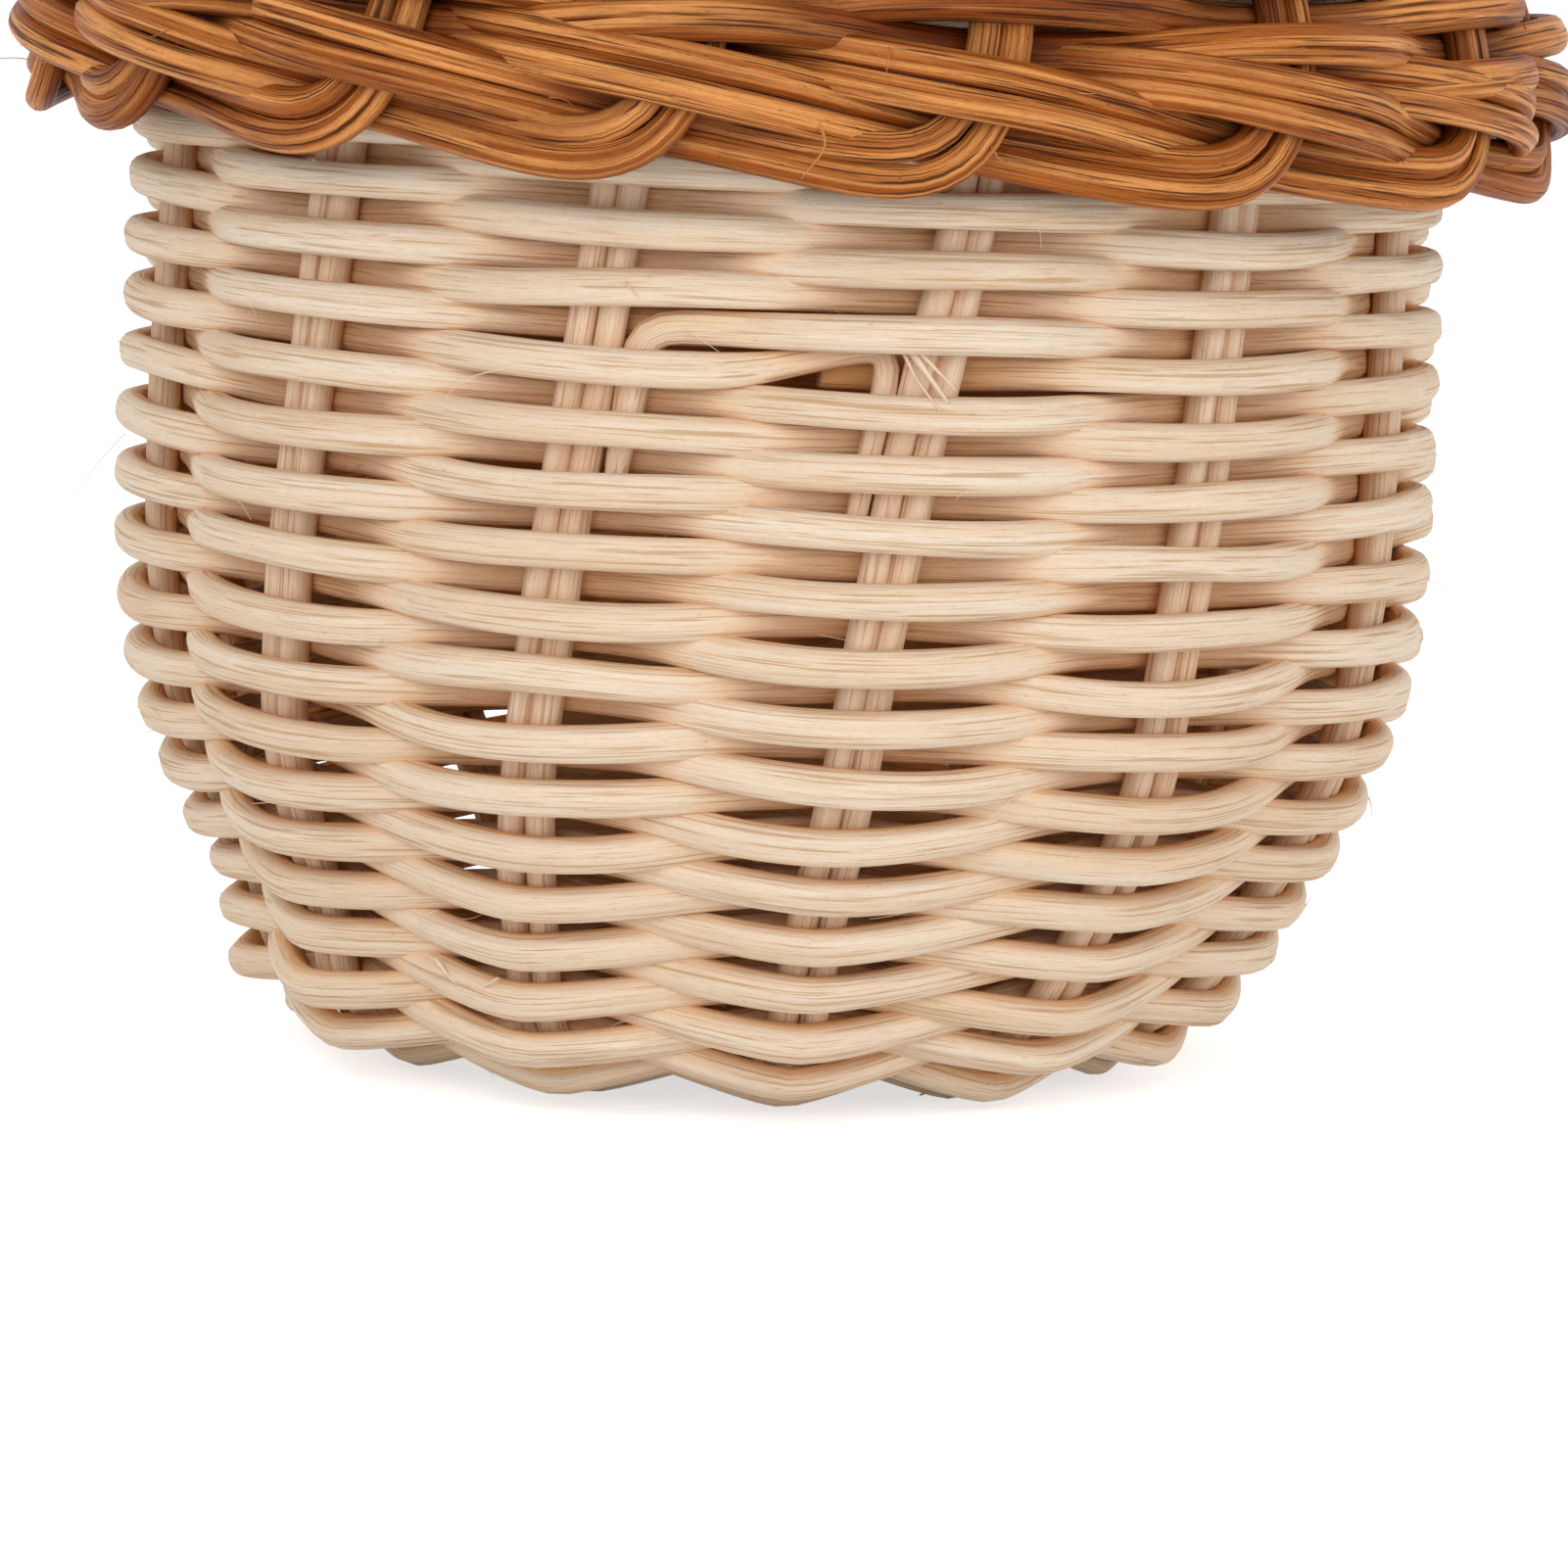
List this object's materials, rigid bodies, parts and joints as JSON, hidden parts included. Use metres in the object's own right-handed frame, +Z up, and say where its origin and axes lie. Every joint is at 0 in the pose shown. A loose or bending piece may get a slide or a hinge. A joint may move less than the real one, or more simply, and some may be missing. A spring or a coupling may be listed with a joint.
{
  "type": "rattan storage basket",
  "caption": "Round woven storage basket of natural rattan core with a lift-off domed lid of brown rattan and a plaited rim.",
  "frame": {"origin": "centre of the basket's base, on the surface that it stands on", "axes": "+Z up along the basket's axis, -Y towards the side that the picture shows"},
  "size_m": [0.1974, 0.1974, 0.1896],
  "materials": {
    "natural_rattan": "matte, unvarnished peeled rattan core",
    "brown_rattan": "satin, stained and lightly varnished rattan core"
  },
  "bodies": {
    "basket": {"basket_stake_rod_01": "natural_rattan", "basket_stake_rod_02": "natural_rattan", "basket_stake_rod_03": "natural_rattan", "basket_stake_rod_04": "natural_rattan", "basket_stake_rod_05": "natural_rattan", "basket_stake_rod_06": "natural_rattan", "basket_stake_rod_07": "natural_rattan", "basket_stake_rod_08": "natural_rattan", "basket_stake_rod_09": "natural_rattan", "basket_stake_rod_10": "natural_rattan", "basket_stake_rod_11": "natural_rattan", "basket_stake_rod_12": "natural_rattan", "basket_base_reed_a": "natural_rattan", "basket_base_reed_b": "natural_rattan", "basket_wall_reed_a1": "natural_rattan", "basket_wall_reed_a2": "natural_rattan", "basket_wall_reed_a3": "natural_rattan", "basket_wall_reed_a4": "natural_rattan", "basket_wall_reed_a5": "natural_rattan", "basket_wall_reed_b1": "natural_rattan", "basket_wall_reed_b2": "natural_rattan", "basket_wall_reed_b3": "natural_rattan", "basket_wall_reed_b4": "natural_rattan", "basket_wall_reed_b5": "natural_rattan"},
    "lid": {"lid_stake_rod_01": "brown_rattan", "lid_stake_rod_02": "brown_rattan", "lid_stake_rod_03": "brown_rattan", "lid_stake_rod_04": "brown_rattan", "lid_stake_rod_05": "brown_rattan", "lid_stake_rod_06": "brown_rattan", "lid_stake_rod_07": "brown_rattan", "lid_stake_rod_08": "brown_rattan", "lid_stake_rod_09": "brown_rattan", "lid_stake_rod_10": "brown_rattan", "lid_stake_rod_11": "brown_rattan", "lid_stake_rod_12": "brown_rattan", "lid_stake_rod_13": "brown_rattan", "lid_stake_rod_14": "brown_rattan", "lid_stake_rod_15": "brown_rattan", "lid_stake_rod_16": "brown_rattan", "lid_crown_reed_a": "brown_rattan", "lid_crown_reed_b": "brown_rattan", "lid_wall_reed_a1": "brown_rattan", "lid_wall_reed_a2": "brown_rattan", "lid_wall_reed_a3": "brown_rattan", "lid_wall_reed_b1": "brown_rattan", "lid_wall_reed_b2": "brown_rattan", "lid_wall_reed_b3": "brown_rattan"}
  },
  "joints": [
    {"name": "lid_lift", "type": "slide", "parent": "basket", "child": "lid", "axis": [0, 0, 1], "range_m": [0, 0.12]}
  ]
}
